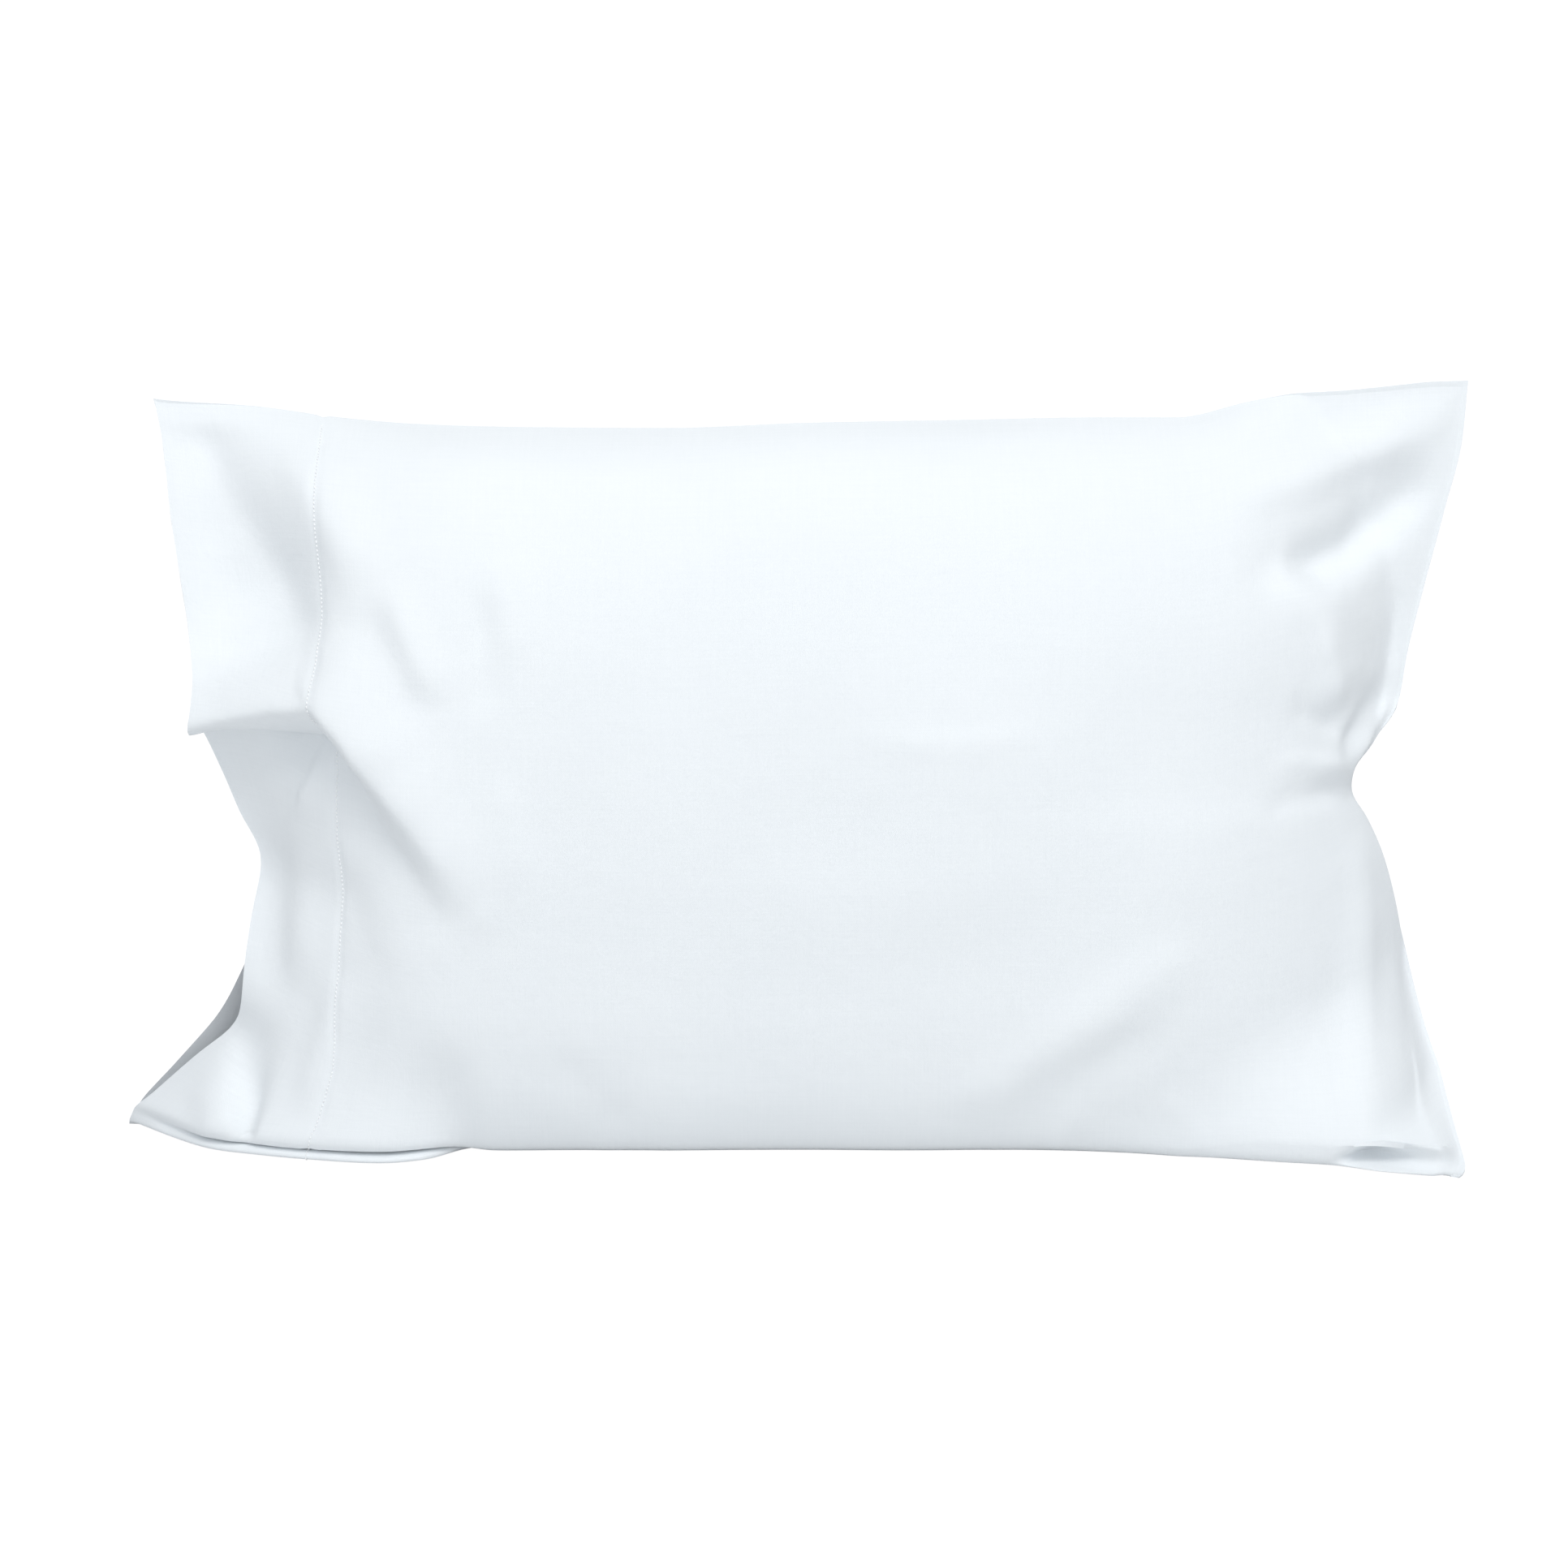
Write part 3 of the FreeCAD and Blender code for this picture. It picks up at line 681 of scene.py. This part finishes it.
def around(grid, out):
    """The closed outline of a grid's rims, moved out from its middle in the seam plane."""
    loop = np.concatenate([grid[:-1, 0], grid[-1, :-1], grid[:0:-1, -1], grid[0, :0:-1]])
    for _ in range(4):
        loop = loop * .5 + (np.roll(loop, 1, 0) + np.roll(loop, -1, 0)) * .25
    ahead = np.roll(loop, -1, 0) - np.roll(loop, 1, 0)
    ahead /= np.maximum(np.linalg.norm(ahead, axis=1, keepdims=True), 1e-9)
    outward = np.stack([ahead[:, 2], np.zeros(len(loop)), -ahead[:, 0]], 1)
    loop = loop + outward * out
    run = np.concatenate([[0], np.cumsum(np.linalg.norm(np.diff(loop, axis=0), axis=1))])
    even = np.linspace(0, run[-1], int(run[-1] / 4))
    loop = np.stack([np.interp(even, run, loop[:, k]) for k in range(3)], 1)
    loop[:, 2] = np.maximum(loop[:, 2], 2.4)
    return loop


piping = tube("piping_cord", around(insert_front, 1.6), 1.5)


def node(tree, kind, settings=None, **inputs):
    """A node with its settings, and with inputs that are values or other nodes' outputs."""
    made = tree.nodes.new(kind)
    for key, value in (settings or {}).items():
        setattr(made, key, value)
    for key, value in inputs.items():
        socket = made.inputs[int(key[1:])] if key[0] == "i" and key[1:].isdigit() \
            else made.inputs[key.replace("_", " ")]
        if isinstance(value, bpy.types.NodeSocket):
            tree.links.new(value, socket)
        else:
            socket.default_value = value
    return made


def maths(tree, operation, a, b=0.0):
    return node(tree, "ShaderNodeMath", {"operation": operation}, i0=a, i1=b).outputs[0]


def stitch_tree():
    """Geometry nodes that lay one short thread after another along a line."""
    tree = bpy.data.node_groups.new("stitch_row", "GeometryNodeTree")
    add = tree.interface.new_socket
    add("Geometry", in_out="INPUT", socket_type="NodeSocketGeometry")
    sizes = {}
    for label, value in (("Pitch", .002), ("Thread length", .0016), ("Thread width", .0004),
                         ("Slant", 0.0)):
        socket = add(label, in_out="INPUT", socket_type="NodeSocketFloat")
        socket.default_value = value
        sizes[label] = socket.identifier
    sizes["Thread"] = add("Thread", in_out="INPUT",
                          socket_type="NodeSocketMaterial").identifier
    add("Geometry", in_out="OUTPUT", socket_type="NodeSocketGeometry")
    given, result = tree.nodes.new("NodeGroupInput"), tree.nodes.new("NodeGroupOutput")
    line = node(tree, "GeometryNodeMeshToCurve", Mesh=given.outputs["Geometry"])
    even = node(tree, "GeometryNodeResampleCurve", {"mode": "LENGTH"}, Curve=line.outputs[0],
                Length=given.outputs["Pitch"])
    along = tree.nodes.new("GeometryNodeInputTangent")
    which = tree.nodes.new("GeometryNodeInputIndex")
    odd = maths(tree, "MODULO", which.outputs[0], 2.0)
    swing = maths(tree, "MULTIPLY", maths(tree, "SUBTRACT", odd, .5), given.outputs["Slant"])
    lie = node(tree, "FunctionNodeAlignRotationToVector", {"axis": "X"},
               Vector=along.outputs[0])
    tilt = node(tree, "FunctionNodeRotateRotation", {"rotation_space": "LOCAL"},
                Rotation=lie.outputs[0])
    euler = node(tree, "ShaderNodeCombineXYZ", X=0.0, Y=0.0, Z=swing)
    tree.links.new(euler.outputs[0], tilt.inputs[1])
    thread = node(tree, "GeometryNodeMeshUVSphere", Segments=8, Rings=5, Radius=.5)
    size = node(tree, "ShaderNodeCombineXYZ", X=given.outputs["Thread length"],
                Y=given.outputs["Thread width"], Z=given.outputs["Thread width"])
    laid = node(tree, "GeometryNodeInstanceOnPoints", Points=even.outputs[0],
                Instance=thread.outputs[0], Rotation=tilt.outputs[0], Scale=size.outputs[0])
    real = node(tree, "GeometryNodeRealizeInstances", Geometry=laid.outputs[0])
    finish = node(tree, "GeometryNodeSetMaterial", Geometry=real.outputs[0],
                  Material=given.outputs["Thread"])
    tree.links.new(finish.outputs[0], result.inputs[0])
    return tree, sizes


STITCHES, STITCH_SIZES = stitch_tree()


def stitch_row(name, path, pitch, length, width, slant=0.0):
    """Stitches along a path, as a plain mesh."""
    line = bpy.data.meshes.new(name)
    line.from_pydata([tuple(p) for p in np.asarray(path) * MM],
                     [(k, k + 1) for k in range(len(path) - 1)], [])
    piece = bpy.data.objects.new(name, line)
    bpy.context.scene.collection.objects.link(piece)
    row = piece.modifiers.new("stitch_row", "NODES")
    row.node_group = STITCHES
    for label, value in (("Pitch", pitch * MM), ("Thread length", length * MM),
                         ("Thread width", width * MM), ("Slant", slant), ("Thread", THREAD)):
        row[STITCH_SIZES[label]] = value
    seen = piece.evaluated_get(bpy.context.evaluated_depsgraph_get())
    made = bpy.data.meshes.new_from_object(seen)
    piece.modifiers.clear()
    piece.data = made
    made.name = name
    made.polygons.foreach_set("use_smooth", np.ones(len(made.polygons), bool))
    return piece


def on_ply(grid, along, up, shares_along, shares_up, side, out):
    """Points of a ply at these shares of its length and girth, this far outside it."""
    raised = grid + normals(grid, side) * out
    a = np.interp(shares_along, along, np.arange(len(along)))
    b = np.interp(shares_up, up, np.arange(len(up)))
    a0, b0 = np.clip(a.astype(int), 0, len(along) - 2), np.clip(b.astype(int), 0, len(up) - 2)
    fa, fb = (a - a0)[..., None], (b - b0)[..., None]
    return ((raised[a0, b0] * (1 - fa) + raised[a0 + 1, b0] * fa) * (1 - fb)
            + (raised[a0, b0 + 1] * (1 - fa) + raised[a0 + 1, b0 + 1] * fa) * fb)


def tab(name, grid, along, up, spans, side, out, thick):
    """A blank label lying on a ply: spans are its shares (from, to) along and up."""
    (a, b), (c, d) = spans
    s, t = np.meshgrid(np.linspace(a, b, 23), np.linspace(c, d, 17), indexing="ij")
    lying = on_ply(grid, along, up, s, t, side, out)
    uv = np.stack([s * LENGTH, t * GIRTH], 2)
    return cloth_piece(name, lying, side, thick, uv)


# Finishes

def group_of(name, inputs, outputs):
    """A shader node group with these sockets: (name, kind, value)."""
    tree = bpy.data.node_groups.new(name, "ShaderNodeTree")
    for label, kind, value in inputs:
        socket = tree.interface.new_socket(label, in_out="INPUT", socket_type=kind)
        if value is not None:
            socket.default_value = value
    for label, kind in outputs:
        tree.interface.new_socket(label, in_out="OUTPUT", socket_type=kind)
    return tree, tree.nodes.new("NodeGroupInput"), tree.nodes.new("NodeGroupOutput")


def plain_weave():
    """Over and under threads with slubs, read from the cloth's own flat layout."""
    tree, given, result = group_of(
        "plain_weave",
        [("Cloth", "NodeSocketVector", None), ("Pitch", "NodeSocketFloat", .0004),
         ("Slub", "NodeSocketFloat", .5)],
        [("Height", "NodeSocketFloat"), ("Shade", "NodeSocketFloat")])
    rate = maths(tree, "DIVIDE", math.pi, given.outputs["Pitch"])
    parts = node(tree, "ShaderNodeSeparateXYZ", i0=given.outputs["Cloth"])
    u, v = parts.outputs[0], parts.outputs[1]
    slubs = []
    for scale in ((60.0, 2600.0, 1.0), (2600.0, 60.0, 1.0)):
        stretched = node(tree, "ShaderNodeVectorMath", {"operation": "MULTIPLY"},
                         i0=given.outputs["Cloth"], i1=scale)
        slubs.append(node(tree, "ShaderNodeTexNoise", {"noise_dimensions": "2D"},
                          Vector=stretched.outputs[0], Scale=.35, Detail=2.0).outputs["Fac"])
    warp = maths(tree, "SINE", maths(tree, "MULTIPLY", u, rate))
    weft = maths(tree, "SINE", maths(tree, "MULTIPLY", v, rate))
    crossing = maths(tree, "MULTIPLY", warp, weft)
    slub = maths(tree, "SUBTRACT", maths(tree, "ADD", slubs[0], slubs[1]), 1.0)
    height = maths(tree, "ADD", maths(tree, "MULTIPLY", crossing, .5),
                   maths(tree, "MULTIPLY", slub, given.outputs["Slub"]))
    shade = maths(tree, "ADD", maths(tree, "MULTIPLY", slub, given.outputs["Slub"]), .5)
    tree.links.new(height, result.inputs["Height"])
    tree.links.new(shade, result.inputs["Shade"])
    return tree


def crumple():
    """Fine irregular crumpling of laundered cotton."""
    tree, given, result = group_of(
        "fine_crumple",
        [("Place", "NodeSocketVector", None), ("Size", "NodeSocketFloat", 60.0)],
        [("Height", "NodeSocketFloat")])
    coarse = node(tree, "ShaderNodeTexNoise", Vector=given.outputs["Place"],
                  Scale=given.outputs["Size"], Detail=3.0, Roughness=.55, Distortion=.6)
    tree.links.new(coarse.outputs["Fac"], result.inputs["Height"])
    return tree


WEAVE, CRUMPLE = plain_weave(), crumple()


def woven(name, light, shaded, pitch, slub, rough, sheen, bump=.00006, crumple_bump=.0004,
          crumple_size=60.0, uv=True):
    """A woven cotton finish between two near colours. Pitch and bumps are in metres."""
    material = bpy.data.materials.new(name)
    material.use_nodes = True
    tree = material.node_tree
    shader = tree.nodes["Principled BSDF"]
    place = tree.nodes.new("ShaderNodeTexCoord")
    cloth = place.outputs["UV"] if uv else place.outputs["Object"]
    weave = node(tree, "ShaderNodeGroup", {"node_tree": WEAVE}, Cloth=cloth, Pitch=pitch,
                 Slub=slub)
    folds = node(tree, "ShaderNodeGroup", {"node_tree": CRUMPLE},
                 Place=place.outputs["Object"], Size=crumple_size)
    tone = node(tree, "ShaderNodeTexNoise", Vector=place.outputs["Object"], Scale=9.0, Detail=2.0)
    mixed = maths(tree, "ADD", maths(tree, "MULTIPLY", weave.outputs["Shade"], .5),
                  maths(tree, "MULTIPLY", tone.outputs["Fac"], .5))
    colour = node(tree, "ShaderNodeMix", {"data_type": "RGBA"}, Factor=mixed)
    colour.inputs[6].default_value = (*shaded, 1)
    colour.inputs[7].default_value = (*light, 1)
    tree.links.new(colour.outputs[2], shader.inputs["Base Color"])
    roughness = maths(tree, "ADD", maths(tree, "MULTIPLY", weave.outputs["Shade"], .12), rough)
    tree.links.new(roughness, shader.inputs["Roughness"])
    coarse = node(tree, "ShaderNodeBump", Height=folds.outputs["Height"], Distance=crumple_bump,
                  Strength=1.0)
    fine = node(tree, "ShaderNodeBump", Height=weave.outputs["Height"], Distance=bump,
                Strength=1.0, Normal=coarse.outputs["Normal"])
    tree.links.new(fine.outputs["Normal"], shader.inputs["Normal"])
    for label, value in (("Specular IOR Level", .25), ("Sheen Weight", sheen),
                         ("Sheen Roughness", .5)):
        shader.inputs[label].default_value = value
    return material


PERCALE = woven("white_percale", (.90, .925, .94), (.82, .85, .875),
                pitch=.00036, slub=.55, rough=.78, sheen=.12)
# painted shade: the same white percale as the outside, coloured darker to paint the shade deep
# inside the mouth
PAINTED_SHADE_LINING = woven("white_percale_lining_painted_shade", (.62, .645, .67), (.55, .575, .60),
               pitch=.00036, slub=.55, rough=.8, sheen=.1)
TICK = woven("cotton_ticking", (.87, .875, .87), (.79, .80, .80),
             pitch=.0005, slub=.6, rough=.8, sheen=.08)
TAPE = woven("label_tape", (.88, .885, .88), (.80, .81, .81),
             pitch=.0007, slub=.4, rough=.6, sheen=.05)
CORD = woven("piping_cord", (.84, .845, .84), (.74, .75, .75),
             pitch=.0011, slub=.5, rough=.75, sheen=.06, bump=.0002)
THREAD = woven("sewing_thread", (.99, .99, .99), (.94, .95, .96),
               pitch=.0004, slub=.4, rough=.55, sheen=.3, uv=False)
FIBRE = woven("fibre_fill", (.88, .885, .89), (.74, .75, .76), pitch=.003, slub=.9, rough=.9,
              sheen=.3, bump=.0008, crumple_bump=.006, crumple_size=140, uv=False)

for each, finish in ((case_front, PERCALE), (case_back, PERCALE), (lining_front, PAINTED_SHADE_LINING),
                     (lining_back, PAINTED_SHADE_LINING), (ticking_front, TICK), (ticking_back, TICK),
                     (piping, CORD), (fill_core, FIBRE)):
    each.data.materials.append(finish)

CUFF_STITCH = {"pitch": 2.4, "length": 1.55, "width": .72}
OVERLOCK = {"length": 3.2, "width": .45, "slant": 1.1}
ROW_POINTS = 420
IN_FROM_END = 9            # overlock of the case to its closed end
IN_FROM_EDGE = 7           # overlock of the insert to its edge
CLOSING = (.42, .74)       # share of the insert's end
CARE_SPANS = ((40 / LENGTH, 84 / LENGTH), (.2, .26))
LAW_SPANS = ((.07, .172), (.2, .295))

cuff_rows = [stitch_row(name, on_ply(grid, ALONG, UP, np.full(ROW_POINTS, CUFF / LENGTH),
                                     np.linspace(lowest, .985, ROW_POINTS), side, .26),
                        **CUFF_STITCH)
             for name, grid, side, lowest in (("cuff_stitches_front", front, -1, .088),
                                              ("cuff_stitches_back", back, 1, .118))]
between = (front + back) / 2
inner = int(np.searchsorted(ALONG, 1 - IN_FROM_END / LENGTH))
seam_path = np.concatenate([between[4:inner, 3], between[inner, 3:-6], between[inner:3:-1, -6]])
case_overlock = stitch_row("case_overlock", seam_path, pitch=2.4, **OVERLOCK)
ticking_overlock = stitch_row("ticking_overlock", around(insert_front, -IN_FROM_EDGE),
                              pitch=2.6, **OVERLOCK)
closing_up = np.linspace(*CLOSING, 160)
closing_path = on_ply(insert_front, INSERT_ALONG, INSERT_UP, np.full(len(closing_up), .022),
                      closing_up, -1, .15)
closing_row = stitch_row("closing_stitches", closing_path, pitch=3.2, length=2.6, width=.5)
care_tab = tab("care_tab", back, ALONG, UP, CARE_SPANS, 1, out=-2 * CLOTH - .75, thick=.35)
law_tab = tab("law_tab", insert_back, INSERT_ALONG, INSERT_UP, LAW_SPANS, 1, out=.55, thick=.4)
for each in (care_tab, law_tab):
    each.data.materials.append(TAPE)

# Stage, light and camera

FLOOR_CORNERS = [(-9, -5, 0), (9, -5, 0), (9, 13, 0), (-9, 13, 0)]
WHITE = (1, 1, 1, 1)
WARM = (1, .985, .96)
COOL = (.91, .95, .99, 1)
PLAIN_GLOW = 1.1           # floor and surroundings as the camera sees them
GLOWING_SHARE = .9
ROOM_DARKEST = .04
# light of the room: direction it comes from, and what is added to it
FRONT_LIGHT, FRONT_ADDED = (0, -.83, .53), .11
BACK_LIGHT, BACK_ADDED = (0, 1.25, .2), -.12

floor_data = bpy.data.meshes.new("pale_floor")
floor_data.from_pydata(FLOOR_CORNERS, [], [(0, 1, 2, 3)])
floor = bpy.data.objects.new("pale_floor", floor_data)
bpy.context.scene.collection.objects.link(floor)
floor_finish = bpy.data.materials.new("pale_floor")
floor_finish.use_nodes = True
floor_tree = floor_finish.node_tree
floor_shader = floor_tree.nodes["Principled BSDF"]
for label, value in (("Base Color", (.82, .82, .82, 1)), ("Roughness", 1.0),
                     ("Specular IOR Level", 0.0)):
    floor_shader.inputs[label].default_value = value
floor_glow = node(floor_tree, "ShaderNodeEmission", Color=WHITE, Strength=PLAIN_GLOW)
floor_path = floor_tree.nodes.new("ShaderNodeLightPath")
floor_share = maths(floor_tree, "MULTIPLY", floor_path.outputs["Is Camera Ray"], GLOWING_SHARE)
floor_mix = node(floor_tree, "ShaderNodeMixShader", i0=floor_share,
                 i1=floor_shader.outputs[0], i2=floor_glow.outputs[0])
floor_tree.links.new(floor_mix.outputs[0], floor_tree.nodes["Material Output"].inputs["Surface"])
floor_data.materials.append(floor_finish)

world = bpy.data.worlds.new("studio")
bpy.context.scene.world = world
world.use_nodes = True
room = world.node_tree
room.nodes.clear()
facing = room.nodes.new("ShaderNodeTexCoord").outputs["Generated"]
from_front, from_back = [
    maths(room, "ADD", node(room, "ShaderNodeVectorMath", {"operation": "DOT_PRODUCT"},
                            i0=facing, i1=towards).outputs["Value"], added)
    for towards, added in ((FRONT_LIGHT, FRONT_ADDED), (BACK_LIGHT, BACK_ADDED))]
brightness = maths(room, "MAXIMUM", maths(room, "MAXIMUM", from_front, ROOM_DARKEST), from_back)
lit = node(room, "ShaderNodeBackground", Color=COOL, Strength=brightness)
plain = node(room, "ShaderNodeBackground", Color=WHITE, Strength=PLAIN_GLOW)
seen_by = room.nodes.new("ShaderNodeLightPath")
pick = node(room, "ShaderNodeMixShader", i0=seen_by.outputs["Is Camera Ray"],
            i1=lit.outputs[0], i2=plain.outputs[0])
node(room, "ShaderNodeOutputWorld", i0=pick.outputs[0])


def soft_light(name, place, aim, size, power):
    """A square softbox turned towards a point."""
    data = bpy.data.lights.new(name, "AREA")
    data.size, data.energy, data.color = size, power, WARM
    lamp = bpy.data.objects.new(name, data)
    lamp.location = place
    lamp.rotation_euler = (Vector(aim) - Vector(place)).to_track_quat("-Z", "Y").to_euler()
    bpy.context.scene.collection.objects.link(lamp)


soft_light("key_softbox", (.15, -1.45, 2.2), (0, 0, .2), size=1.1, power=22)
soft_light("rear_softbox", (.9, 1.7, .9), (0, .1, .2), size=.8, power=4)

CAMERA_AWAY = 1.65
CAMERA_RISE = math.radians(9)
AIM = Vector((-.015, 0, .203))
camera_data = bpy.data.cameras.new("camera")
camera_data.sensor_width = 36.0
camera_data.lens = 65.5
camera = bpy.data.objects.new("camera", camera_data)
camera.location = AIM + CAMERA_AWAY * Vector((0, -math.cos(CAMERA_RISE), math.sin(CAMERA_RISE)))
camera.rotation_euler = (math.pi / 2 - CAMERA_RISE, 0, 0)
bpy.context.scene.collection.objects.link(camera)
bpy.context.scene.camera = camera
bpy.context.scene.view_settings.view_transform = "Standard"

for piece, stands_for, body, slot in (
        (case_front, "case_front_panel", "case", "percale_white"),
        (case_back, "case_back_panel", "case", "percale_white"),
        (lining_front, "front_cuff_facing", "case", "percale_white"),
        (lining_back, "back_cuff_facing", "case", "percale_white"),
        (cuff_rows[0], "front_cuff_stitching", "case", "sewing_thread"),
        (cuff_rows[1], "back_cuff_stitching", "case", "sewing_thread"),
        (case_overlock, "case_seam_serging", "case", "sewing_thread"),
        (care_tab, "case_care_label", "case", "label_tape"),
        (ticking_front, "insert_front_ticking", "insert", "ticking"),
        (ticking_back, "insert_back_ticking", "insert", "ticking"),
        (piping, "insert_piping", "insert", "piping_cord"),
        (ticking_overlock, "insert_seam_serging", "insert", "sewing_thread"),
        (closing_row, "insert_closing_stitches", "insert", "sewing_thread"),
        (law_tab, "insert_law_label", "insert", "label_tape"),
        (fill_core, "fibre_fill", "insert", "fibre")):
    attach(piece, body)
    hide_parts(stands_for)
    if body == "case":
        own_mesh(piece)
